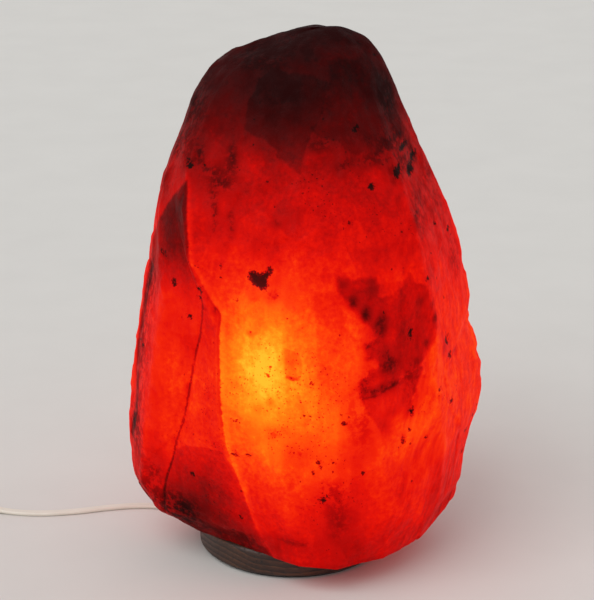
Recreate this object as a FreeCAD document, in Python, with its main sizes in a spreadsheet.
"""Salt crystal lamp: a rough crystal on a turned wooden base, lit by a candle bulb in its bore.

Millimetres, +Z up.  The origin is the middle of the felt ring's underside, on the table.
+X is to the viewer's right and the viewer stands at -Y.  The cord leaves the base at the
back left, and carries a rocker switch, a wound coil and a flat two-pin plug.
"""

import FreeCAD, Part
import math
import os
import re

import Sketcher

Vector = FreeCAD.Vector

# ---------------------------------------------------------------- driving dimensions
SIZES = {
    # the crystal
    "crystal_height": 282.0,
    "crystal_width": 196.0,
    "crystal_depth": 166.0,
    "crystal_break": 2.6,
    "crystal_break_width": 16.0,
    "bore_diameter": 54.0,
    "bore_depth": 134.0,
    # the turned base and the felt under it
    "base_diameter": 106.0,
    "base_thickness": 14.4,
    "base_edge_radius": 3.0,
    "base_hole_diameter": 42.0,
    "recess_diameter": 66.0,
    "recess_depth": 6.0,
    "felt_margin": 3.0,
    "felt_width": 12.0,
    "felt_thickness": 1.6,
    # the groove that the cord leaves by, and the grommet in its mouth
    "cord_exit_angle": 150.0,
    "groove_width": 9.0,
    "groove_depth": 4.6,
    "grommet_length": 7.0,
    "grommet_lip": 1.0,
    # three wood screws and their nylon anchors in the crystal
    "base_screw_count": 3.0,
    "base_screw_circle": 84.0,
    "base_screw_angle": 24.0,
    "base_screw_diameter": 4.0,
    "base_screw_head": 8.0,
    "base_screw_bite": 20.0,
    "anchor_diameter": 8.0,
    "anchor_length": 25.0,
    "screw_clearance": 0.4,
    "screw_sink": 0.2,
    "anchor_point": 2.0,
    "anchor_clearance": 0.3,
    # the plate that closes the base, and the bulb holder on it
    "plate_diameter": 64.0,
    "plate_thickness": 2.0,
    "plate_hole_diameter": 14.0,
    "holder_diameter": 27.0,
    "holder_height": 40.0,
    "holder_wall": 2.0,
    "holder_floor": 2.4,
    "holder_flange_diameter": 34.0,
    "holder_flange_thickness": 2.4,
    "wire_hole_diameter": 7.0,
    "insert_height": 7.0,
    "insert_gap": 6.0,
    "shell_bore": 14.5,
    "shell_wall": 0.5,
    "shell_height": 21.0,
    "contact_rise": 3.0,
    "contact_thickness": 0.5,
    "terminal_spread": 13.0,
    "terminal_diameter": 4.0,
    "terminal_length": 4.4,
    # the two wire springs that hold the plate up in the bore
    "spring_wire": 1.4,
    "spring_foot_radius": 18.4,
    "spring_height": 44.0,
    "spring_knee_rise": 1.0,
    "spring_knee_share": 0.72,
    "spring_lean": 2.0,
    "running_clearance": 0.3,
    # the candle bulb
    "cap_diameter": 13.9,
    "cap_height": 21.0,
    "cap_wall": 0.4,
    "thread_pitch": 2.82,
    "thread_depth": 0.55,
    "thread_turns": 5.0,
    "cap_insulator_height": 2.6,
    "tip_diameter": 5.0,
    "tip_height": 1.4,
    "bulb_diameter": 35.0,
    "bulb_glass_height": 76.0,
    "bulb_belly_height": 30.0,
    "bulb_tip_radius": 3.2,
    "glass_wall": 0.8,
    "stem_height": 30.0,
    "stem_diameter": 6.0,
    "lead_diameter": 0.7,
    "lead_spread": 16.0,
    "lead_height": 18.0,
    "lead_bend": 5.0,
    "lead_inset": 1.6,
    "filament_diameter": 0.5,
    # the cord and the clamp under the plate
    "cord_diameter": 3.0,
    "cord_passage_width": 5.4,
    "cord_passage_height": 3.2,
    "cord_bend_radius": 5.0,
    "cord_end_run": 8.0,
    "cord_seat": 2.0,
    "coil_lead": 10.0,
    "clamp_radius": 20.0,
    "clamp_width": 17.0,
    "clamp_length": 6.0,
    "clamp_bridge": 1.4,
    "clamp_screw_spread": 11.5,
    "small_screw_diameter": 2.6,
    "small_screw_head": 4.6,
    "small_screw_head_height": 1.4,
    # the rocker switch on the cord
    "switch_across": -227.0,
    "switch_back": 45.0,
    "switch_turn": 170.0,
    "switch_length": 62.0,
    "switch_width": 22.0,
    "switch_base_height": 8.0,
    "switch_cover_height": 7.0,
    "switch_wall": 1.8,
    "switch_corner": 7.0,
    "switch_entry_height": 5.6,
    "switch_screw_place": 22.0,
    "switch_screw_offset": 6.4,
    "rocker_length": 15.2,
    "rocker_width": 9.6,
    "rocker_rise": 4.8,
    "rocker_dip": 1.1,
    "rocker_skirt": 3.2,
    "rocker_tilt": 8.0,
    "rocker_opening_gap": 1.0,
    "pivot_height": 11.6,
    "pivot_diameter": 2.0,
    "block_length": 8.0,
    "block_width": 5.0,
    "block_height": 5.5,
    "block_place": 11.0,
    # the coil, which is wound in two layers
    "coil_across": -285.0,
    "coil_back": 0.0,
    "coil_outer_radius": 43.0,
    "coil_pitch": 5.4,
    "coil_turns_per_layer": 3.25,
    "coil_layer_gap": 0.5,
    "coil_start_angle": 97.0,
    # the flat plug
    "plug_across": -240.0,
    "plug_back": -62.0,
    "plug_turn": -4.0,
    "plug_length": 34.0,
    "plug_width": 35.3,
    "plug_thickness": 13.7,
    "plug_neck_width": 15.0,
    "plug_shoulder": 12.0,
    "plug_rounding": 2.5,
    "pin_diameter": 4.0,
    "pin_length": 19.0,
    "pin_root": 8.0,
    "pin_spacing": 18.6,
    "pin_sleeve_length": 10.0,
    "pin_sleeve_wall": 0.35,
    "relief_length": 20.0,
    "relief_socket": 3.0,
    "relief_diameter": 8.6,
    "relief_rings": 4.0,
    "relief_groove": 0.9,
}

doc = FreeCAD.newDocument("salt_crystal_lamp")
sheet = doc.addObject("Spreadsheet::Sheet", "Sizes")
for row, (alias, size) in enumerate(SIZES.items(), start=1):
    sheet.set(f"A{row}", alias.replace("_", " "))
    sheet.set(f"B{row}", str(size))
    sheet.setAlias(f"B{row}", alias)
doc.recompute()

FUNCTIONS = {"sin", "cos"}


def sized(formula):
    """A formula of aliases, as the document's objects read it from the sheet."""

    def from_sheet(word):
        name = word.group(0)
        return name if name in FUNCTIONS else f"Sizes.{name}"

    return re.sub(r"\b[a-z]\w*", from_sheet, str(formula))


def number(formula):
    """What a formula of aliases comes to, in millimetres or degrees."""
    return float(sheet.evalExpression(sized(formula)))


def bind(item, sizes):
    """Ties properties of an object to formulas of aliases."""
    for name, formula in sizes.items():
        item.setExpression(name, sized(formula))


# ---------------------------------------------------------------- shared heights and frames
BASE_UNDER = "felt_thickness"
BASE_TOP = "(felt_thickness + base_thickness)"
RECESS_TOP = "(felt_thickness + recess_depth)"
PLATE_UNDER = f"({RECESS_TOP} - plate_thickness)"
CORD_RUN = f"({PLATE_UNDER} - cord_diameter / 2)"
INSERT_UNDER = f"({RECESS_TOP} + holder_floor + insert_gap)"
INSERT_TOP = f"({INSERT_UNDER} + insert_height)"
CONTACT_TOP = f"({INSERT_TOP} + contact_rise)"
BULB_FOOT = f"({CONTACT_TOP} + running_clearance)"
CAP_UNDER = f"({BULB_FOOT} + tip_height + cap_insulator_height)"
CAP_TOP = f"({CAP_UNDER} + cap_height)"
SCREW_HEAD = "(base_screw_head * 0.34)"
SWITCH_TOP = "(switch_base_height + switch_cover_height)"
PLUG_MIDDLE = "(plug_thickness / 2)"

CENTRE = ("0", "0", "0")
EXIT = ("0", "0", "cord_exit_angle")
SWITCH = ("switch_across", "switch_back", "switch_turn")
PLUG = ("plug_across", "plug_back", "plug_turn")


def spot(frame, along, aside="0"):
    """Where a point of a turned frame lies on the table, as two formulas."""
    across, back, turn = frame
    x = f"({across}) + ({along}) * cos({turn}) - ({aside}) * sin({turn})"
    y = f"({back}) + ({along}) * sin({turn}) + ({aside}) * cos({turn})"
    return x, y


def place(item, height, frame=CENTRE, along="0", aside="0"):
    """Sets an object down at a height in a turned frame."""
    x, y = spot(frame, along, aside)
    bind(
        item,
        {
            "Placement.Base.x": x,
            "Placement.Base.y": y,
            "Placement.Base.z": height,
            "Placement.Rotation.Angle": frame[2],
        },
    )
    return item


# ---------------------------------------------------------------- ways of making a piece
def closed_sketch(body, plane, corners):
    """A closed outline in one of a body's origin planes, each corner tied to the sheet.

    A corner is (across, up), or (across, up, radius) where the edge that leaves it is an
    arc that turns left, and (across, up, "-", radius) where it turns right.
    """
    sketch = body.newObject("Sketcher::SketchObject", body.Name + "_outline")
    support = next(f for f in body.Origin.OriginFeatures if f.Role == plane)
    sketch.AttachmentSupport = [(support, "")]
    sketch.MapMode = "FlatFace"
    points = [Vector(number(c[0]), number(c[1]), 0) for c in corners]
    starts = []
    ends = []
    ties = []
    formulas = []
    for index, corner in enumerate(corners):
        here = points[index]
        there = points[(index + 1) % len(points)]
        if len(corner) == 2:
            sketch.addGeometry(Part.LineSegment(here, there), False)
            starts.append(1)
            ends.append(2)
            continue
        left = len(corner) == 3
        radius = number(corner[-1])
        half = (there - here).Length / 2
        across = Vector(here.y - there.y, there.x - here.x, 0).normalize()
        reach = math.sqrt(max(radius**2 - half**2, 0.0)) * (1 if left else -1)
        middle = (here + there) / 2 + across * reach
        first, last = (here, there) if left else (there, here)
        begin = math.atan2(first.y - middle.y, first.x - middle.x)
        finish = math.atan2(last.y - middle.y, last.x - middle.x)
        finish += 2 * math.pi if finish <= begin else 0.0
        circle = Part.Circle(middle, Vector(0, 0, 1), radius)
        sketch.addGeometry(Part.ArcOfCircle(circle, begin, finish), False)
        starts.append(1 if left else 2)
        ends.append(2 if left else 1)
        ties.append(Sketcher.Constraint("Radius", index, radius))
        formulas.append(corner[-1])
    for index, (point, corner) in enumerate(zip(points, corners)):
        start = starts[index]
        ties.append(Sketcher.Constraint("DistanceX", -1, 1, index, start, point.x))
        formulas.append(corner[0])
        ties.append(Sketcher.Constraint("DistanceY", -1, 1, index, start, point.y))
        formulas.append(corner[1])
    for index in range(len(corners)):
        before = index - 1 if index else len(corners) - 1
        ties.append(Sketcher.Constraint("Coincident", before, ends[before], index, starts[index]))
    sketch.addConstraint(ties)
    for index, formula in enumerate(formulas):
        sketch.setExpression(f"Constraints[{index}]", sized(formula))
    return sketch


def turned(name, corners):
    """A piece turned about its own upright axis from (radius, height) corners."""
    body = doc.addObject("PartDesign::Body", name)
    sketch = closed_sketch(body, "XZ_Plane", corners)
    revolution = body.newObject("PartDesign::Revolution", name + "_turning")
    revolution.Profile = sketch
    revolution.ReferenceAxis = (sketch, ["V_Axis"])
    revolution.Angle = 360
    return body


def extruded(name, corners, length, plane="XY_Plane", symmetric=False):
    """A piece pushed out of an outline, up from it or to both sides of it."""
    body = doc.addObject("PartDesign::Body", name)
    pad = body.newObject("PartDesign::Pad", name + "_pad")
    pad.Profile = closed_sketch(body, plane, corners)
    pad.SideType = "Symmetric" if symmetric else "One side"
    bind(pad, {"Length": length})
    return body


def cylinder(name, radius, height, foot, frame=CENTRE, along="0", aside="0"):
    item = doc.addObject("Part::Cylinder", name)
    bind(item, {"Radius": radius, "Height": height})
    return place(item, foot, frame, along, aside)


def cone(name, radius, top_radius, height, foot, frame=CENTRE, along="0", aside="0"):
    item = doc.addObject("Part::Cone", name)
    bind(item, {"Radius1": radius, "Radius2": top_radius, "Height": height})
    return place(item, foot, frame, along, aside)


def box(name, length, width, height, foot, frame=CENTRE, along="0", aside="0"):
    """A box, with its footprint centred on its place in the frame."""
    item = doc.addObject("Part::Box", name)
    bind(item, {"Length": length, "Width": width, "Height": height})
    return place(item, foot, frame, f"({along}) - ({length}) / 2", f"({aside}) - ({width}) / 2")


def fused(name, pieces):
    item = doc.addObject("Part::MultiFuse", name)
    item.Shapes = pieces
    return item


def cut(name, base, tools):
    item = doc.addObject("Part::Cut", name)
    item.Base = base
    item.Tool = tools[0] if len(tools) == 1 else fused(name + "_tools", tools)
    return item


def group(name, pieces):
    """Separate like solids that share one name."""
    item = doc.addObject("Part::Compound", name)
    item.Links = pieces
    return item


def feature(name, shape):
    item = doc.addObject("Part::Feature", name)
    item.Shape = shape
    return item


def rounded_outline(length, width, radius):
    """A rectangle about the origin with its four corners as arcs."""
    far = f"({length}) / 2"
    side = f"({width}) / 2"
    near_end = f"({far} - ({radius}))"
    near_side = f"({side} - ({radius}))"
    return [
        (f"-{near_end}", f"-({side})"),
        (near_end, f"-({side})", radius),
        (far, f"-{near_side}"),
        (far, near_side, radius),
        (near_end, side),
        (f"-{near_end}", side, radius),
        (f"-({far})", near_side),
        (f"-({far})", f"-{near_side}", radius),
    ]


def screw(name, head_under, shank_length, head, head_height, shank, frame, along, aside="0"):
    """A screw that points up, with a countersunk head, a slot and a short point."""
    top = f"({head_height}) + ({shank_length})"
    body = turned(
        name + "_blank",
        [
            ("0", "0"),
            (f"({head}) / 2", "0"),
            (f"({head}) / 2", "0.3 * " + f"({head_height})"),
            (f"({shank}) / 2", head_height),
            (f"({shank}) / 2", f"{top} - ({shank}) / 2"),
            ("0", top),
        ],
    )
    place(body, head_under, frame, along, aside)
    slot = box(
        name + "_slot",
        f"({head}) * 0.8",
        f"({head}) * 0.14",
        f"({head_height}) * 0.5",
        head_under,
        frame,
        along,
        aside,
    )
    return cut(name, body, [slot])


# ---------------------------------------------------------------- the crystal
# Each rib is an edge of the rough block, from its sawn foot to the rim of its cap, as
# (across, back, up) from the middle of the foot, in the order that goes round to the left.
CRYSTAL_RIBS = [
    # the right-hand edge, with its notch
    [(83, -2, 0), (90, 0, 8), (94, 3, 20), (96, 4, 38), (99, 5, 52), (103, 6, 62),
     (105, 7, 74), (105, 8, 86), (101, 8, 105), (96, 7, 121), (98, 7, 129), (91, 8, 160),
     (83, 7, 183), (69, 6, 213), (59, 6, 235), (50, 5, 255), (43, 6, 270)],
    # behind the right-hand edge
    [(70, 28, 0), (82, 34, 18), (88, 42, 52), (92, 38, 85), (84, 44, 118), (80, 38, 150),
     (72, 36, 185), (56, 32, 218), (40, 22, 264)],
    [(42, 48, 0), (52, 58, 18), (52, 70, 50), (62, 70, 88), (60, 64, 125), (54, 66, 160),
     (50, 58, 195), (44, 48, 228), (30, 34, 262)],
    # the back
    [(8, 54, 0), (4, 66, 20), (0, 74, 50), (8, 84, 90), (14, 78, 125), (12, 78, 165),
     (18, 70, 205), (14, 56, 242), (12, 38, 268)],
    [(-24, 48, 0), (-38, 60, 20), (-46, 68, 50), (-40, 82, 95), (-42, 74, 130),
     (-30, 74, 165), (-28, 66, 200), (-20, 54, 235), (-10, 36, 264)],
    [(-48, 30, 0), (-64, 36, 15), (-78, 40, 45), (-72, 50, 80), (-74, 46, 115),
     (-64, 50, 150), (-60, 42, 185), (-48, 38, 215), (-28, 24, 263)],
    # the left-hand edge
    [(-60, 2, 0), (-75, 0, 5), (-84, 0, 13), (-89, 2, 22), (-91, 4, 34), (-92, 5, 60),
     (-90, 6, 76), (-87, 7, 105), (-83, 7, 130), (-79, 7, 150), (-75, 7, 172),
     (-69, 5, 200), (-59, 5, 225), (-51, 4, 246), (-39, 5, 266)],
    # the front of the left lobe
    [(-57, -14, 0), (-74, -20, 11), (-83, -24, 30), (-81, -32, 62), (-76, -37, 90),
     (-72, -38, 120), (-69, -36, 145), (-70, -28, 165), (-71, -16, 186), (-66, -12, 206),
     (-53, -8, 238), (-36, -6, 263)],
    # the crack between the left lobe and the middle strip
    [(-49, -27, 0), (-66, -30, 14), (-70, -32, 35), (-63, -41, 62), (-58, -44, 75),
     (-54, -48, 102), (-48, -52, 136), (-50, -52, 156), (-59, -38, 182), (-62, -27, 198),
     (-57, -26, 218), (-46, -18, 242), (-34, -11, 262)],
    # the main ridge, which bounds the bright front face on its left
    [(-13, -55, 0), (-19, -57, 13), (-27, -60, 35), (-33, -62, 57), (-38, -66, 74),
     (-39, -68, 98), (-38, -67, 135), (-45, -61, 150), (-54, -53, 170), (-56, -46, 195),
     (-54, -36, 212), (-44, -26, 238), (-30, -17, 262)],
    # the bright front face
    [(4, -68, 0), (0, -73, 30), (-8, -77, 70), (-14, -79, 110), (-16, -75, 150),
     (-20, -62, 190), (-18, -44, 232), (-13, -24, 264)],
    [(23, -72, 0), (26, -77, 30), (18, -81, 70), (8, -82, 110), (3, -80, 150),
     (2, -70, 190), (4, -54, 220), (7, -25, 266)],
    # the lower left edge of the dark hollow on the right of the front
    [(48, -58, 0), (53, -68, 28), (46, -76, 70), (38, -82, 103), (30, -80, 138),
     (22, -76, 170), (26, -62, 200), (25, -46, 232), (21, -24, 266)],
    # the right of the front
    [(66, -38, 0), (79, -41, 26), (81, -48, 60), (76, -59, 95), (74, -53, 136),
     (69, -54, 158), (63, -47, 185), (54, -34, 212), (43, -20, 242), (34, -13, 268)],
]
CRYSTAL_SUMMIT = (17, 5, 282)
# The first bands between ribs, from the right-hand edge round the back to the left-hand one,
# are knocked rough: the middle of each facet stands out or in, by a share of crystal_break.
CRYSTAL_BACK_BANDS = 6
CRYSTAL_BREAKS = (-1, 0.5, -0.6, 0.8, -0.9, 0.2, 0.9, -0.7, -1, 0.6, -0.3)


def span(axis):
    """How far the ribs reach along one axis, from their least to their greatest."""
    reached = [point[axis] for rib in CRYSTAL_RIBS for point in rib]
    return max(*reached, CRYSTAL_SUMMIT[axis]) - min(*reached, CRYSTAL_SUMMIT[axis])


def crystal_point(point):
    """A rib's point, in the row's frame and at the crystal's driving sizes."""
    across, back, up = point
    return Vector(
        across * number("crystal_width") / span(0),
        back * number("crystal_depth") / span(1),
        up * number("crystal_height") / span(2) + number(BASE_TOP),
    )


def band(left, right):
    """Flat facets between two ribs, taken upwards, each time from the rib that lags."""
    facets = []
    i = j = 0
    while i < len(left) - 1 or j < len(right) - 1:
        left_next = left[i + 1].z if i < len(left) - 1 else math.inf
        right_next = right[j + 1].z if j < len(right) - 1 else math.inf
        if left_next <= right_next:
            facets.append((left[i], right[j], left[i + 1]))
            i += 1
        else:
            facets.append((left[i], right[j], right[j + 1]))
            j += 1
    return facets


def broken(facet, share):
    """A facet as three that meet in a raised or sunken middle.  A narrow one stays flat."""
    a, b, c = facet
    way = (b - a).cross(c - a)
    longest = max((b - a).Length, (c - b).Length, (a - c).Length)
    if way.Length / longest < number("crystal_break_width"):
        return [facet]
    middle = (a + b + c) / 3
    outwards = Vector(middle.x, middle.y, 0)
    if way.dot(outwards) < 0:
        way = way * -1
    middle += way.normalize() * share * number("crystal_break")
    return [(a, b, middle), (b, c, middle), (c, a, middle)]


def crystal_block():
    ribs = [[crystal_point(point) for point in rib] for rib in CRYSTAL_RIBS]
    summit = crystal_point(CRYSTAL_SUMMIT)
    facets = []
    for index, (rib, following) in enumerate(zip(ribs, ribs[1:] + ribs[:1])):
        around = band(rib, following) + [(rib[-1], following[-1], summit)]
        if index < CRYSTAL_BACK_BANDS:
            flats, around = around, []
            for number_up, flat in enumerate(flats):
                turn = (3 * index + number_up) % len(CRYSTAL_BREAKS)
                around += broken(flat, CRYSTAL_BREAKS[turn])
        facets += around
    faces = [Part.Face(Part.makePolygon([*facet, facet[0]])) for facet in facets]
    foot = [rib[0] for rib in ribs]
    faces.append(Part.Face(Part.makePolygon([*foot, foot[0]])))
    shell = Part.makeShell(faces)
    shell.sewShape()
    return Part.makeSolid(shell)


def base_screw_spots():
    """How far round from the cord's exit each base screw stands, as formulas."""
    count = round(number("base_screw_count"))
    return [f"base_screw_angle + {index} * 360 / {count}" for index in range(count)]


def at_angle(angle, radius):
    """A point at an angle from the cord's exit, as (along, aside) formulas."""
    return f"({radius}) * cos({angle})", f"({radius}) * sin({angle})"


def make_crystal():
    block = feature("rough_block", crystal_block())
    tools = [cylinder("bulb_bore", "bore_diameter / 2", "bore_depth", BASE_TOP)]
    for index, angle in enumerate(base_screw_spots()):
        along, aside = at_angle(angle, "base_screw_circle / 2")
        tools.append(
            cylinder(
                f"anchor_hole_{index}",
                "anchor_diameter / 2",
                "anchor_length",
                BASE_TOP,
                EXIT,
                along,
                aside,
            )
        )
    return cut("salt_crystal", block, tools)


# ---------------------------------------------------------------- the base and what fixes it
def make_base():
    rim = "base_diameter / 2"
    turning = turned(
        "base_turning",
        [
            ("recess_diameter / 2", "0"),
            (f"{rim} - base_edge_radius / 2", "0", "base_edge_radius / 2"),
            (rim, "base_edge_radius / 2"),
            (rim, "base_thickness - base_edge_radius", "base_edge_radius"),
            (f"{rim} - base_edge_radius", "base_thickness"),
            ("base_hole_diameter / 2", "base_thickness"),
            ("base_hole_diameter / 2", "recess_depth"),
            ("recess_diameter / 2", "recess_depth"),
        ],
    )
    place(turning, BASE_UNDER)
    tools = [
        box(
            "cord_groove",
            "base_diameter / 2",
            "groove_width",
            "groove_depth",
            BASE_UNDER,
            EXIT,
            "recess_diameter / 2 - 1 + base_diameter / 4",
        )
    ]
    for index, angle in enumerate(base_screw_spots()):
        along, aside = at_angle(angle, "base_screw_circle / 2")
        tools.append(
            cylinder(
                f"screw_way_{index}",
                "(base_screw_diameter + screw_clearance) / 2",
                "base_thickness",
                BASE_UNDER,
                EXIT,
                along,
                aside,
            )
        )
        tools.append(
            cone(
                f"screw_countersink_{index}",
                "(base_screw_head + screw_clearance) / 2 + base_screw_diameter / 4",
                "(base_screw_diameter + screw_clearance) / 2",
                f"{SCREW_HEAD} + screw_sink + screw_clearance",
                BASE_UNDER,
                EXIT,
                along,
                aside,
            )
        )
    return cut("wooden_base", turning, tools)


def make_felt():
    outer = "(base_diameter / 2 - felt_margin)"
    inner = f"({outer} - felt_width)"
    felt = turned(
        "felt_ring",
        [
            (inner, "0"),
            (outer, "0"),
            (outer, "felt_thickness"),
            (inner, "felt_thickness"),
        ],
    )
    return place(felt, "0")


def make_base_fixings():
    screws = []
    anchors = []
    for index, angle in enumerate(base_screw_spots()):
        along, aside = at_angle(angle, "base_screw_circle / 2")
        screws.append(
            screw(
                f"base_screw_{index}",
                f"{BASE_UNDER} + screw_sink",
                f"base_thickness - {SCREW_HEAD} + base_screw_bite",
                "base_screw_head",
                SCREW_HEAD,
                "base_screw_diameter",
                EXIT,
                along,
                aside,
            )
        )
        sleeve = turned(
            f"anchor_{index}",
            [
                ("base_screw_diameter / 2", "0"),
                ("anchor_diameter / 2", "0"),
                ("anchor_diameter / 2", "anchor_length - anchor_point"),
                ("anchor_diameter * 3 / 8", "anchor_length - anchor_clearance"),
                ("base_screw_diameter / 2", "anchor_length - anchor_clearance"),
            ],
        )
        anchors.append(place(sleeve, BASE_TOP, EXIT, along, aside))
    return group("base_screws", screws), group("screw_anchors", anchors)


def make_grommet():
    middle = "base_diameter / 2 + grommet_lip - grommet_length / 2"
    plug = box(
        "grommet_blank",
        "grommet_length",
        "groove_width",
        "groove_depth",
        BASE_UNDER,
        EXIT,
        middle,
    )
    way = box(
        "grommet_way",
        "grommet_length + 2",
        "cord_passage_width",
        "cord_passage_height",
        f"{CORD_RUN} - cord_passage_height / 2",
        EXIT,
        middle,
    )
    return cut("cord_grommet", plug, [way])


# ---------------------------------------------------------------- the plate and the bulb holder
def clamp_spots():
    return [
        ("clamp_radius", "clamp_screw_spread / 2"),
        ("clamp_radius", "-clamp_screw_spread / 2"),
    ]


def holder_screw_spots():
    reach = "(holder_diameter + holder_flange_diameter) / 4"
    return [("0", f"-({reach})"), ("0", reach)]


def make_plate():
    disc = cylinder("plate_disc", "plate_diameter / 2", "plate_thickness", PLATE_UNDER)
    tools = [cylinder("plate_way", "plate_hole_diameter / 2", "plate_thickness", PLATE_UNDER)]
    for index, (along, aside) in enumerate(clamp_spots() + holder_screw_spots()):
        tools.append(
            cylinder(
                f"plate_screw_way_{index}",
                "small_screw_diameter / 2",
                "plate_thickness",
                PLATE_UNDER,
                EXIT,
                along,
                aside,
            )
        )
    for index, side in enumerate(("spring_foot_radius", "-spring_foot_radius")):
        tools.append(
            cylinder(
                f"spring_hole_{index}",
                "spring_wire / 2",
                "plate_thickness",
                PLATE_UNDER,
                CENTRE,
                side,
            )
        )
    return cut("holder_plate", disc, tools)


def make_holder_housing():
    outer = "holder_diameter / 2"
    inner = "holder_diameter / 2 - holder_wall"
    housing = turned(
        "housing_turning",
        [
            ("wire_hole_diameter / 2", "0"),
            ("holder_flange_diameter / 2", "0"),
            ("holder_flange_diameter / 2", "holder_flange_thickness"),
            (outer, "holder_flange_thickness"),
            (outer, "holder_height * 0.42"),
            (f"{outer} - 0.8", "holder_height * 0.45"),
            (f"{outer} - 0.8", "holder_height - 1"),
            (f"{outer} - 1.8", "holder_height"),
            (f"{inner}", "holder_height"),
            (f"{inner}", "holder_floor"),
            ("wire_hole_diameter / 2", "holder_floor"),
        ],
    )
    place(housing, RECESS_TOP)
    tools = []
    for index, (along, aside) in enumerate(holder_screw_spots()):
        tools.append(
            cylinder(
                f"flange_screw_way_{index}",
                "small_screw_diameter / 2",
                "holder_flange_thickness",
                RECESS_TOP,
                EXIT,
                along,
                aside,
            )
        )
    return cut("holder_housing", housing, tools)


def make_holder_inside():
    inner = "(holder_diameter / 2 - holder_wall)"
    # the insulating block rests on a turned foot, and carries both contacts
    insert = turned(
        "holder_insert_turning",
        [
            (f"{inner} - 2.4", "0"),
            (inner, "0"),
            (inner, "insert_gap + insert_height"),
            ("0", "insert_gap + insert_height"),
            ("0", "insert_gap"),
            (f"{inner} - 2.4", "insert_gap"),
        ],
    )
    place(insert, f"{RECESS_TOP} + holder_floor")
    ways = [
        cylinder(
            f"terminal_way_{index}",
            "terminal_diameter / 2",
            "insert_height",
            f"{INSERT_TOP} - terminal_length",
            CENTRE,
            side,
        )
        for index, side in enumerate(("terminal_spread / 2", "-terminal_spread / 2"))
    ]
    block = cut("holder_insert", insert, ways)
    shell = turned(
        "thread_shell",
        [
            ("shell_bore / 2 - 2.2", "0"),
            (f"{inner} - 0.8", "0"),
            (f"{inner} - 0.8", "shell_wall"),
            ("shell_bore / 2 + shell_wall", "shell_wall"),
            ("shell_bore / 2 + shell_wall", "shell_height - 1"),
            ("shell_bore / 2 + shell_wall + 1", "shell_height"),
            ("shell_bore / 2 + 1 - 0.1", "shell_height"),
            ("shell_bore / 2", "shell_height - 1"),
            ("shell_bore / 2", "2 * shell_wall"),
            ("shell_bore / 2 - 2.2", "2 * shell_wall"),
        ],
    )
    place(shell, INSERT_TOP)
    # the centre contact is a bent strip, with its foot on the block
    contact = extruded(
        "centre_contact",
        [
            ("-2.6", "0"),
            ("2.6", "0"),
            ("2.6", "contact_thickness"),
            ("-1.8", "contact_thickness"),
            ("-1.2", "contact_rise - contact_thickness"),
            ("2.4", "contact_rise - contact_thickness"),
            ("2.4", "contact_rise"),
            ("-1.9", "contact_rise"),
        ],
        "tip_diameter * 0.7",
        plane="XZ_Plane",
        symmetric=True,
    )
    place(contact, INSERT_TOP)
    terminals = [
        screw(
            f"terminal_{index}",
            f"{INSERT_TOP} - terminal_length",
            "terminal_length * 0.4",
            "terminal_diameter",
            "terminal_length * 0.6",
            "terminal_diameter * 0.6",
            CENTRE,
            side,
        )
        for index, side in enumerate(("terminal_spread / 2", "-terminal_spread / 2"))
    ]
    return block, shell, contact, group("terminal_screws", terminals)


def make_plate_screws():
    screws = [
        screw(
            f"plate_screw_{index}",
            f"{PLATE_UNDER} - small_screw_head_height",
            "plate_thickness + holder_flange_thickness",
            "small_screw_head",
            "small_screw_head_height",
            "small_screw_diameter",
            EXIT,
            along,
            aside,
        )
        for index, (along, aside) in enumerate(holder_screw_spots())
    ]
    return group("plate_screws", screws)


def make_cord_clamp():
    under = f"({PLATE_UNDER} - cord_passage_height - clamp_bridge)"
    bar = box(
        "clamp_bar",
        "clamp_length",
        "clamp_width",
        "cord_passage_height + clamp_bridge",
        under,
        EXIT,
        "clamp_radius",
    )
    tools = [
        box(
            "clamp_saddle",
            "clamp_length + 2",
            "cord_passage_width",
            "cord_passage_height",
            f"{PLATE_UNDER} - cord_passage_height",
            EXIT,
            "clamp_radius",
        )
    ]
    screws = []
    for index, (along, aside) in enumerate(clamp_spots()):
        tools.append(
            cylinder(
                f"clamp_screw_way_{index}",
                "small_screw_diameter / 2",
                "cord_passage_height + clamp_bridge",
                under,
                EXIT,
                along,
                aside,
            )
        )
        tools.append(
            cylinder(
                f"clamp_head_way_{index}",
                "small_screw_head / 2",
                "small_screw_head_height",
                under,
                EXIT,
                along,
                aside,
            )
        )
        screws.append(
            screw(
                f"clamp_screw_{index}",
                under,
                "cord_passage_height + clamp_bridge + plate_thickness - small_screw_head_height",
                "small_screw_head",
                "small_screw_head_height",
                "small_screw_diameter",
                EXIT,
                along,
                aside,
            )
        )
    return cut("cord_clamp", bar, tools), group("clamp_screws", screws)


# ---------------------------------------------------------------- tubes along a route
def tube(points, diameter):
    """A round tube along straight runs, joined by arcs as large as the runs allow."""
    edges = []
    here = points[0]
    radii = []
    for before, corner, after in zip(points, points[1:], points[2:]):
        into = (corner - before).normalize()
        out = (after - corner).normalize()
        turn = into.getAngle(out)
        shorter = min(before.distanceToPoint(corner), corner.distanceToPoint(after))
        setback = 0.45 * shorter
        radius = setback / math.tan(turn / 2)
        radii.append(radius)
        start = corner - into * setback
        end = corner + out * setback
        inward = (out - into).normalize()
        middle = corner + inward * (radius / math.cos(turn / 2) - radius)
        edges.append(Part.LineSegment(here, start).toShape())
        edges.append(Part.Arc(start, middle, end).toShape())
        here = end
    edges.append(Part.LineSegment(here, points[-1]).toShape())
    path = Part.Wire(edges)
    first = (points[1] - points[0]).normalize()
    ring = Part.Wire(Part.Circle(points[0], first, diameter / 2).toShape())
    solid = path.makePipeShell([ring], True, False)
    expected = math.pi * diameter**2 / 4 * path.Length
    share = solid.Volume / expected
    tightest = min(radii, default=math.inf)
    print(f"tube {path.Length:.1f} mm, least radius {tightest:.1f} mm, volume {share:.3f} of it")
    return solid


def table_spot(frame, along, aside="0"):
    x, y = spot(frame, along, aside)
    return number(x), number(y)


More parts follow.
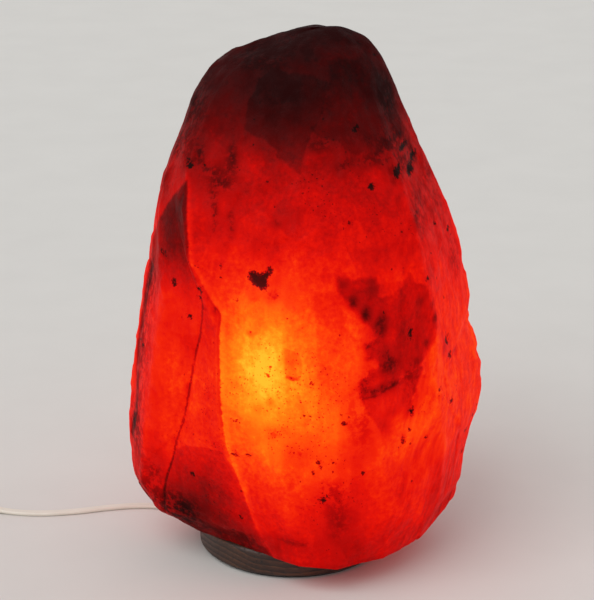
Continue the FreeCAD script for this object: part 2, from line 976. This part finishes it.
def make_spring_clips():
    """Two bent wires that stand in the plate and lean on the wall of the bore."""
    foot = number("spring_foot_radius")
    wall = number("bore_diameter / 2 - spring_wire / 2 - running_clearance")
    low = number(f"{RECESS_TOP} - plate_thickness")
    knee = number(f"{BASE_TOP} + spring_knee_rise")
    high = low + number("spring_height")
    clips = []
    for side in (1, -1):
        points = [
            Vector(side * foot, 0, low),
            Vector(side * foot, 0, knee),
            Vector(side * wall, 0, number(f"{low} + spring_knee_share * spring_height")),
            Vector(side * number("spring_foot_radius + spring_lean"), 0, high),
        ]
        clips.append(feature(f"spring_{side}", tube(points, number("spring_wire"))))
    return group("spring_clips", clips)


def make_inside_cord():
    """The cord from the holder's foot down through the plate and out to the grommet."""
    run = number(CORD_RUN)
    bend = number("cord_bend_radius")
    out_x, out_y = table_spot(EXIT, "1")
    exit_x, exit_y = table_spot(EXIT, "base_diameter / 2 + grommet_lip")
    top = Vector(0, 0, number(f"{INSERT_UNDER} - 0.2"))
    bend_start = Vector(0, 0, run + bend)
    middle = Vector(
        out_x * bend * (1 - math.cos(math.pi / 4)),
        out_y * bend * (1 - math.cos(math.pi / 4)),
        run + bend * (1 - math.sin(math.pi / 4)),
    )
    bend_end = Vector(out_x * bend, out_y * bend, run)
    path = Part.Wire(
        [
            Part.LineSegment(top, bend_start).toShape(),
            Part.Arc(bend_start, middle, bend_end).toShape(),
            Part.LineSegment(bend_end, Vector(exit_x, exit_y, run)).toShape(),
        ]
    )
    ring = Part.Wire(Part.Circle(top, Vector(0, 0, -1), number("cord_diameter / 2")).toShape())
    return feature("cord_inside", path.makePipeShell([ring], True, False))


# Where the lamp's side of the cord lies, as (across, back, above the table's rest).
LAMP_SIDE_ROUTE = [
    (-62, 35.2, 0.6),
    (-75, 39.6, 0),
    (-90, 41.6, 0),
    (-108, 38.6, 0),
    (-128, 32.4, 0),
    (-150, 29.6, 0),
    (-172, 33.6, 0),
]
# Where the plug's side lies after the coil, as (across, back, above the table's rest).
PLUG_SIDE_ROUTE = [
    (-313, 37.5, 2.4),
    (-328, 24, 0.8),
    (-337, 4, 0),
    (-338, -18, 0),
    (-330, -40, 0),
    (-315, -54, 0.8),
]


def make_lamp_side_cord():
    rest = number("cord_diameter / 2")
    run = number(CORD_RUN)
    start = table_spot(EXIT, "base_diameter / 2 + grommet_lip")
    lead = table_spot(EXIT, "base_diameter / 2 + grommet_lip + cord_end_run")
    entry = number("switch_entry_height")
    mouth = table_spot(SWITCH, "-switch_length / 2 + switch_wall + cord_seat")
    approach = table_spot(SWITCH, "-switch_length / 2 - cord_end_run")
    points = [Vector(*start, run), Vector(*lead, run)]
    points += [Vector(x, y, rest + rise) for x, y, rise in LAMP_SIDE_ROUTE]
    points += [Vector(*approach, entry), Vector(*mouth, entry)]
    return feature("cord_lamp_side", tube(points, number("cord_diameter")))


# ---------------------------------------------------------------- the coil
def coil_place(turns):
    """Centre-line point after a number of turns: in along the floor, up, and out on top."""
    layer = number("coil_turns_per_layer")
    pitch = number("coil_pitch")
    outer = number("coil_outer_radius")
    low = number("cord_diameter / 2")
    high = low + number("cord_diameter + coil_layer_gap")
    if turns <= layer:
        radius = outer - pitch * turns
        height = low
    elif turns <= layer + 0.5:
        radius = outer - pitch * layer
        rise = (turns - layer) / 0.5
        height = low + (high - low) * (1 - math.cos(math.pi * rise)) / 2
    else:
        radius = outer - pitch * layer + pitch * (turns - layer - 0.5)
        height = high
    angle = math.radians(number("coil_start_angle")) + 2 * math.pi * turns
    return Vector(
        number("coil_across") + radius * math.cos(angle),
        number("coil_back") + radius * math.sin(angle),
        height,
    )


def coil_heading(turns):
    """The way that the centre line runs after a number of turns."""
    step = 1e-4
    return (coil_place(turns + step) - coil_place(turns - step)).normalize()


def biarc(start, start_way, end, end_way):
    """Two arcs that leave and arrive along the given ways, and meet without a corner."""
    chord = end - start
    ways = start_way + end_way
    a = ways.dot(ways) - 4
    b = -2 * chord.dot(ways)
    c = chord.dot(chord)
    if abs(a) < 1e-9:
        reach = -c / b
    else:
        reach = (-b - math.sqrt(b * b - 4 * a * c)) / (2 * a)
    if reach <= 0:
        reach = (-b + math.sqrt(b * b - 4 * a * c)) / (2 * a)
    first_corner = start + start_way * reach
    last_corner = end - end_way * reach
    joint = (first_corner + last_corner) / 2
    return [arc(start, first_corner, joint), arc(joint, last_corner, end)]


def arc(start, corner, end):
    """The arc that is tangent to both sides of a corner, or the line where there is none."""
    into = (corner - start).normalize()
    out = (end - corner).normalize()
    turn = into.getAngle(out)
    if turn < 1e-5:
        return Part.LineSegment(start, end).toShape()
    reach = start.distanceToPoint(corner)
    radius = reach / math.tan(turn / 2)
    middle = corner + (out - into).normalize() * (radius / math.cos(turn / 2) - radius)
    return Part.Arc(start, middle, end).toShape()


def coil_turns():
    return 2 * number("coil_turns_per_layer") + 0.5


def make_coil():
    quarters = round(4 * coil_turns())
    stops = [index / 4 for index in range(quarters + 1)]
    edges = []
    for here, there in zip(stops, stops[1:]):
        edges += biarc(
            coil_place(here), coil_heading(here), coil_place(there), coil_heading(there)
        )
    path = Part.Wire(edges)
    ring = Part.Circle(coil_place(0), coil_heading(0), number("cord_diameter / 2"))
    solid = path.makePipeShell([Part.Wire(ring.toShape())], True, False)
    print(f"coil {path.Length:.0f} mm, least gap to itself {coil_gap():.2f} mm")
    return feature("cord_coil", solid)


def coil_gap():
    """The least gap between two turns of the coil, measured on points of its centre line."""
    per_turn = 72
    points = [coil_place(index / per_turn) for index in range(int(coil_turns() * per_turn))]
    least = math.inf
    for index, here in enumerate(points):
        for there in points[index + per_turn // 2 :]:
            least = min(least, here.distanceToPoint(there))
    return least - number("cord_diameter")


def make_switch_to_coil_cord():
    entry = number("switch_entry_height")
    mouth = table_spot(SWITCH, "switch_length / 2 - switch_wall - cord_seat")
    approach = table_spot(SWITCH, "switch_length / 2 + cord_end_run")
    coil_start = coil_place(0)
    before = coil_start - coil_heading(0) * number("coil_lead")
    points = [
        Vector(*mouth, entry),
        Vector(*approach, entry),
        before,
        coil_start,
    ]
    return feature("cord_switch_to_coil", tube(points, number("cord_diameter")))


def make_plug_side_cord():
    start = coil_place(coil_turns())
    heading = coil_heading(coil_turns() - 0.001)
    rest = number("cord_diameter / 2")
    tail = table_spot(PLUG, "-plug_length - relief_length + relief_socket")
    approach = table_spot(PLUG, "-plug_length - relief_length - cord_end_run")
    middle = number(PLUG_MIDDLE)
    points = [start, start + heading * number("coil_lead")]
    points += [Vector(x, y, rest + rise) for x, y, rise in PLUG_SIDE_ROUTE]
    points += [Vector(*approach, middle), Vector(*tail, middle)]
    return feature("cord_plug_side", tube(points, number("cord_diameter")))


# ---------------------------------------------------------------- the bulb
def make_bulb_cap():
    root = "(cap_diameter / 2 - thread_depth)"
    wave = "((thread_pitch / 2)^2 + thread_depth^2) / (2 * thread_depth)"
    turns = round(number("thread_turns"))
    corners = [(f"{root} - 0.8", "0"), (root, "0.8")]
    for index in range(turns):
        corners.append((root, f"1.6 + {index} * thread_pitch", wave))
    corners += [
        (root, f"1.6 + {turns} * thread_pitch"),
        (root, "cap_height"),
        (f"{root} - cap_wall", "cap_height"),
        (f"{root} - cap_wall", "1.4"),
        (f"{root} - 0.8 - cap_wall", "0.4"),
        (f"{root} - 0.8 - cap_wall", "0"),
    ]
    return place(turned("bulb_cap", corners), CAP_UNDER)


def make_bulb_foot():
    """The black insulator and the contact tip, which turn in their own shape."""
    insulator = turned(
        "bulb_insulator",
        [
            ("tip_diameter / 2 - 0.6", "0"),
            ("tip_diameter / 2 + 0.5", "0"),
            ("cap_diameter / 2 - thread_depth - 0.8", "cap_insulator_height"),
            ("tip_diameter / 2 - 0.6", "cap_insulator_height"),
        ],
    )
    place(insulator, f"{BULB_FOOT} + tip_height")
    tip = turned(
        "bulb_tip",
        [
            ("0", "0"),
            ("tip_diameter / 2 - 0.8", "0"),
            ("tip_diameter / 2", "0.8"),
            ("tip_diameter / 2", "tip_height"),
            ("tip_diameter / 2 - 0.6", "tip_height"),
            ("tip_diameter / 2 - 0.6", "tip_height + cap_insulator_height"),
            ("0", "tip_height + cap_insulator_height"),
        ],
    )
    place(tip, BULB_FOOT)
    return insulator, tip


GLASS_FOOT = f"({CAP_TOP} - 4)"
NECK_RADIUS = "(cap_diameter / 2 - thread_depth - cap_wall)"
BELLY_RADIUS = "(bulb_diameter / 2)"


def glass_arcs(inset):
    """Radii of the flared and the tapering stretch of the glass, drawn in by a wall."""
    belly = f"({BELLY_RADIUS} - {inset})"
    neck = f"({NECK_RADIUS} - {inset})"
    crown = f"(bulb_tip_radius - {inset} * 0.6)"
    flare_rise = "(bulb_belly_height)"
    taper_rise = f"(bulb_glass_height - bulb_belly_height - {crown})"
    flare = f"(({flare_rise})^2 + ({belly} - {neck})^2) / (2 * ({belly} - {neck}))"
    taper = f"(({taper_rise})^2 + ({belly} - {crown})^2) / (2 * ({belly} - {crown}))"
    return belly, neck, crown, flare, taper


def make_bulb_glass():
    outer_belly, outer_neck, outer_crown, outer_flare, outer_taper = glass_arcs("0")
    inner_belly, inner_neck, inner_crown, inner_flare, inner_taper = glass_arcs("glass_wall")
    tip = "(4 + bulb_glass_height)"
    glass = turned(
        "bulb_glass",
        [
            (outer_neck, "0"),
            (outer_neck, "4", outer_flare),
            (outer_belly, "4 + bulb_belly_height", outer_taper),
            (outer_crown, f"{tip} - bulb_tip_radius", "bulb_tip_radius"),
            ("0", tip),
            ("0", f"{tip} - glass_wall", "-", inner_crown),
            (inner_crown, f"{tip} - glass_wall - {inner_crown}", "-", inner_taper),
            (inner_belly, "4 + bulb_belly_height", "-", inner_flare),
            (inner_neck, "4"),
            (inner_neck, "0"),
        ],
    )
    return place(glass, GLASS_FOOT)


def make_bulb_inside():
    stem = turned(
        "bulb_stem",
        [
            ("0", "0"),
            (f"{NECK_RADIUS} - glass_wall", "0"),
            (f"{NECK_RADIUS} - glass_wall", "1.2"),
            ("stem_diameter / 2", "7"),
            ("stem_diameter / 2", "stem_height - 3"),
            ("stem_diameter / 2 - 1.2", "stem_height"),
            ("0", "stem_height"),
        ],
    )
    place(stem, GLASS_FOOT)
    stem_top = number(f"{GLASS_FOOT} + stem_height")
    top = stem_top + number("lead_height")
    spread = number("lead_spread / 2")
    near = number("stem_diameter / 2 - lead_inset")
    bend = number("lead_bend")
    leads = []
    for side in (1, -1):
        points = [
            Vector(side * near, 0, stem_top),
            Vector(side * near, 0, stem_top + bend),
            Vector(side * spread, 0, top - bend),
            Vector(side * spread, 0, top),
        ]
        leads.append(feature(f"lead_{side}", tube(points, number("lead_diameter"))))
    filament = doc.addObject("Part::Torus", "bulb_filament")
    bind(
        filament,
        {
            "Radius1": "lead_spread / 2",
            "Radius2": "filament_diameter / 2",
            "Placement.Base.z": f"{GLASS_FOOT} + stem_height + lead_height + filament_diameter / 2",
        },
    )
    filament.Angle3 = 180
    return stem, group("bulb_leads", leads), filament


# ---------------------------------------------------------------- the switch
def switch_screw_spots():
    return [
        ("switch_screw_place", "switch_screw_offset"),
        ("-switch_screw_place", "-switch_screw_offset"),
    ]


def switch_entries(name, far):
    """The two ways for the cord through the ends of the housing."""
    return [
        box(
            f"{name}_entry_{index}",
            "switch_wall * 3",
            "cord_passage_width",
            "cord_passage_height",
            "switch_entry_height - cord_passage_height / 2",
            SWITCH,
            f"{side} * ({far})",
        )
        for index, side in enumerate((1, -1))
    ]


def make_switch_base():
    length = "switch_length"
    shell = extruded(
        "switch_base_shell",
        rounded_outline(length, "switch_width", "switch_corner"),
        "switch_base_height",
    )
    shell = place(shell, "0", SWITCH)
    hollow = extruded(
        "switch_base_hollow",
        rounded_outline(
            "(switch_length - 2 * switch_wall)",
            "(switch_width - 2 * switch_wall)",
            "(switch_corner - switch_wall)",
        ),
        "switch_base_height",
    )
    place(hollow, "switch_wall", SWITCH)
    tray = cut("switch_tray", shell, [hollow])
    bosses = [
        cylinder(
            f"switch_boss_{index}",
            "small_screw_diameter / 2 + 1.4",
            "switch_base_height - switch_wall",
            "switch_wall",
            SWITCH,
            along,
            aside,
        )
        for index, (along, aside) in enumerate(switch_screw_spots())
    ]
    tools = switch_entries("switch_base", "(switch_length / 2 - switch_wall / 2)")
    for index, (along, aside) in enumerate(switch_screw_spots()):
        tools.append(
            cylinder(
                f"switch_screw_way_{index}",
                "small_screw_diameter / 2",
                "switch_base_height",
                "0",
                SWITCH,
                along,
                aside,
            )
        )
        tools.append(
            cylinder(
                f"switch_head_way_{index}",
                "small_screw_head / 2 + 0.1",
                "small_screw_head_height + 0.2",
                "0",
                SWITCH,
                along,
                aside,
            )
        )
    return cut("switch_base", fused("switch_tray_and_bosses", [tray, *bosses]), tools)


def make_switch_cover():
    shell = extruded(
        "switch_cover_shell",
        rounded_outline("switch_length", "switch_width", "switch_corner"),
        "switch_cover_height",
    )
    place(shell, "switch_base_height", SWITCH)
    rounded = doc.addObject("Part::Fillet", "switch_cover_rounded")
    rounded.Base = shell
    doc.recompute()
    top = number(SWITCH_TOP)
    upper = [
        index
        for index, edge in enumerate(shell.Shape.Edges, start=1)
        if all(abs(vertex.Z - top) < 1e-6 for vertex in edge.Vertexes)
    ]
    ease = number("switch_wall") * 0.9
    rounded.Edges = [(index, ease, ease) for index in upper]
    hollow = extruded(
        "switch_cover_hollow",
        rounded_outline(
            "(switch_length - 2 * switch_wall)",
            "(switch_width - 2 * switch_wall)",
            "(switch_corner - switch_wall)",
        ),
        "switch_cover_height",
    )
    place(hollow, "switch_base_height - switch_wall", SWITCH)
    lid = cut("switch_lid", rounded, [hollow])
    posts = [
        cylinder(
            f"switch_post_{index}",
            "small_screw_diameter / 2 + 1.4",
            "switch_cover_height - switch_wall",
            "switch_base_height",
            SWITCH,
            along,
            aside,
        )
        for index, (along, aside) in enumerate(switch_screw_spots())
    ]
    tools = [
        box(
            "rocker_opening",
            "rocker_length + 2 * rocker_opening_gap",
            "rocker_width + rocker_opening_gap",
            "switch_wall * 3",
            f"{SWITCH_TOP} - switch_wall * 2",
            SWITCH,
        )
    ]
    for index, (along, aside) in enumerate(switch_screw_spots()):
        tools.append(
            cylinder(
                f"switch_post_way_{index}",
                "small_screw_diameter / 2",
                "switch_cover_height - switch_wall",
                "switch_base_height",
                SWITCH,
                along,
                aside,
            )
        )
    return cut("switch_cover", fused("switch_lid_and_posts", [lid, *posts]), tools)


def make_rocker():
    """The rocker, drawn about its pivot and pressed down at its near end, which is on."""

    def tilted(along, up):
        across = f"({along}) * cos(rocker_tilt) + ({up}) * sin(rocker_tilt)"
        rise = f"({up}) * cos(rocker_tilt) - ({along}) * sin(rocker_tilt)"
        return across, rise

    half = "rocker_length / 2"
    corners = [
        tilted(f"-({half})", "-1"),
        tilted("-2.4", "-rocker_skirt"),
        tilted("2.4", "-rocker_skirt"),
        tilted(half, "-1"),
        tilted(half, "rocker_rise"),
        tilted("0", "rocker_rise - rocker_dip"),
        tilted(f"-({half})", "rocker_rise"),
    ]
    blank = extruded(
        "rocker_blank", corners, "rocker_width", plane="XZ_Plane", symmetric=True
    )
    place(blank, "pivot_height", SWITCH)
    bore = doc.addObject("Part::Cylinder", "rocker_bore")
    lay_across(bore, "rocker_width + 2", "pivot_diameter / 2 + 0.15")
    rocker = cut("switch_rocker", blank, [bore])
    pin = doc.addObject("Part::Cylinder", "rocker_pin")
    lay_across(pin, "switch_width - 2 * switch_wall", "pivot_diameter / 2")
    return rocker, pin


def lay_across(item, length, radius):
    """Lays a cylinder level along the rocker's hinge line, centred on it."""
    bind(item, {"Radius": radius, "Height": length})
    x, y = spot(SWITCH, "0", f"({length}) / 2")
    bind(item, {"Placement.Base.x": x, "Placement.Base.y": y, "Placement.Base.z": "pivot_height"})
    turn = number("switch_turn")
    item.Placement = FreeCAD.Placement(
        item.Placement.Base,
        FreeCAD.Rotation(Vector(0, 0, 1), turn) * FreeCAD.Rotation(Vector(1, 0, 0), 90),
    )


def make_switch_inside():
    blocks = []
    leaves = []
    for index, side in enumerate((1, -1)):
        along = f"{side} * block_place"
        blocks.append(
            box(
                f"terminal_block_{index}",
                "block_length",
                "block_width",
                "block_height",
                "switch_wall",
                SWITCH,
                along,
            )
        )
        leaves.append(
            box(
                f"contact_leaf_{index}",
                "block_place",
                "block_width * 0.7",
                "contact_thickness",
                "switch_wall + block_height",
                SWITCH,
                f"{side} * (block_place / 2 + 1.2)",
            )
        )
    screws = [
        screw(
            f"switch_screw_{index}",
            "0.2",
            f"{SWITCH_TOP} - switch_wall - 0.2 - small_screw_head_height - 1",
            "small_screw_head",
            "small_screw_head_height",
            "small_screw_diameter",
            SWITCH,
            along,
            aside,
        )
        for index, (along, aside) in enumerate(switch_screw_spots())
    ]
    return (
        group("switch_terminals", blocks),
        group("switch_contact_leaves", leaves),
        group("switch_screws", screws),
    )


# ---------------------------------------------------------------- the plug
def make_plug():
    far = "plug_width / 2"
    neck = "plug_neck_width / 2"
    corners = [
        ("-plug_length", f"-({neck})"),
        ("-plug_shoulder", f"-({far})"),
        ("0", f"-({far})"),
        ("0", far),
        ("-plug_shoulder", far),
        ("-plug_length", neck),
    ]
    blank = extruded("plug_blank", corners, "plug_thickness")
    place(blank, "0", PLUG)
    doc.recompute()
    eased = doc.addObject("Part::Fillet", "plug_eased")
    eased.Base = blank
    ease = number("plug_rounding")
    eased.Edges = [(index, ease, ease) for index in range(1, len(blank.Shape.Edges) + 1)]
    relief_profile = [("0", "-1"), ("relief_diameter / 2", "-1")]
    rings = round(number("relief_rings"))
    for index in range(rings):
        low = f"(relief_length * {index} / {rings})"
        waist = f"(relief_diameter / 2 * (1 - 0.22 * {index + 1} / {rings}))"
        relief_profile += [
            (waist, f"{low} + relief_groove"),
            (f"{waist} - 0.7", f"{low} + relief_groove + 0.2"),
            (f"{waist} - 0.7", f"{low} + 2 * relief_groove"),
            (waist, f"{low} + 2 * relief_groove + 0.2"),
        ]
    relief_profile += [("relief_diameter / 2 * 0.76", "relief_length"), ("0", "relief_length")]
    relief = turned("plug_relief", relief_profile)
    lay_back(relief, "-plug_length")
    socket = doc.addObject("Part::Cylinder", "plug_cord_socket")
    bind(socket, {"Radius": "cord_diameter / 2", "Height": "relief_socket"})
    lay_forward(socket, "0", "-plug_length - relief_length")
    ways = [socket]
    neck_radius = "(pin_diameter / 2 - pin_sleeve_wall)"
    pins = []
    sleeves = []
    for index, side in enumerate((1, -1)):
        aside = f"{side} * pin_spacing / 2"
        pin = turned(
            f"pin_{index}",
            [
                ("0", "-pin_root"),
                (neck_radius, "-pin_root"),
                (neck_radius, "pin_sleeve_length"),
                ("pin_diameter / 2", "pin_sleeve_length"),
                ("pin_diameter / 2", "pin_length - 1.5"),
                ("pin_diameter / 2 - 1.2", "pin_length"),
                ("0", "pin_length"),
            ],
        )
        lay_forward(pin, aside)
        pins.append(pin)
        way = doc.addObject("Part::Cylinder", f"pin_way_{index}")
        bind(way, {"Radius": neck_radius, "Height": "pin_root"})
        lay_forward(way, aside, "-pin_root")
        ways.append(way)
        ring = turned(
            f"sleeve_{index}",
            [
                (neck_radius, "0"),
                ("pin_diameter / 2", "0"),
                ("pin_diameter / 2", "pin_sleeve_length"),
                (neck_radius, "pin_sleeve_length"),
            ],
        )
        lay_forward(ring, aside)
        sleeves.append(ring)
    body = fused("plug_blank_and_relief", [eased, relief])
    return cut("plug_body", body, ways), group("plug_pins", pins), group("pin_sleeves", sleeves)


def lay_forward(item, aside, along="0"):
    """Lays an upright piece down so that its top points out of the plug's face."""
    lay_in_plug(item, along, aside, FreeCAD.Rotation(Vector(0, 1, 0), 90))


def lay_back(item, along):
    """Lays an upright piece down so that its top points back along the cord."""
    lay_in_plug(item, along, "0", FreeCAD.Rotation(Vector(0, 1, 0), -90))


def lay_in_plug(item, along, aside, rotation):
    x, y = spot(PLUG, along, aside)
    bind(item, {"Placement.Base.x": x, "Placement.Base.y": y, "Placement.Base.z": PLUG_MIDDLE})
    turn = FreeCAD.Rotation(Vector(0, 0, 1), number("plug_turn"))
    item.Placement = FreeCAD.Placement(item.Placement.Base, turn * rotation)


# ---------------------------------------------------------------- the whole lamp
def build():
    pieces = [make_crystal(), make_base(), make_felt(), *make_base_fixings(), make_grommet()]
    pieces += [make_plate(), make_holder_housing(), *make_holder_inside(), make_plate_screws()]
    pieces += [*make_cord_clamp(), make_spring_clips(), make_inside_cord()]
    pieces += [make_bulb_cap(), *make_bulb_foot(), make_bulb_glass(), *make_bulb_inside()]
    pieces += [make_lamp_side_cord(), make_switch_base(), make_switch_cover(), *make_rocker()]
    pieces += [*make_switch_inside(), make_switch_to_coil_cord(), make_coil()]
    pieces += [make_plug_side_cord(), *make_plug()]
    for piece in pieces:
        piece.Label = piece.Name
    return pieces


def write(pieces):
    """Checks that everything was made, and writes one file for each piece."""
    doc.recompute()
    for item in doc.Objects:
        if "Invalid" in item.State or "Error" in item.State:
            raise RuntimeError(f"{item.Name} was not made: {item.State}")
    for piece in pieces:
        if piece.Shape.isNull() or not piece.Shape.isValid() or not piece.Shape.Solids:
            raise RuntimeError(f"{piece.Label} is not a valid solid")
    os.makedirs("parts", exist_ok=True)
    for piece in pieces:
        piece.Shape.exportStep(os.path.join("parts", piece.Label + ".step"))
        box_of = piece.Shape.BoundBox
        print(
            f"{piece.Label:22s} {len(piece.Shape.Solids)} solids, {piece.Shape.Volume / 1000:9.3f} cm3,"
            f" z {box_of.ZMin:.1f} to {box_of.ZMax:.1f}"
        )


write(build())
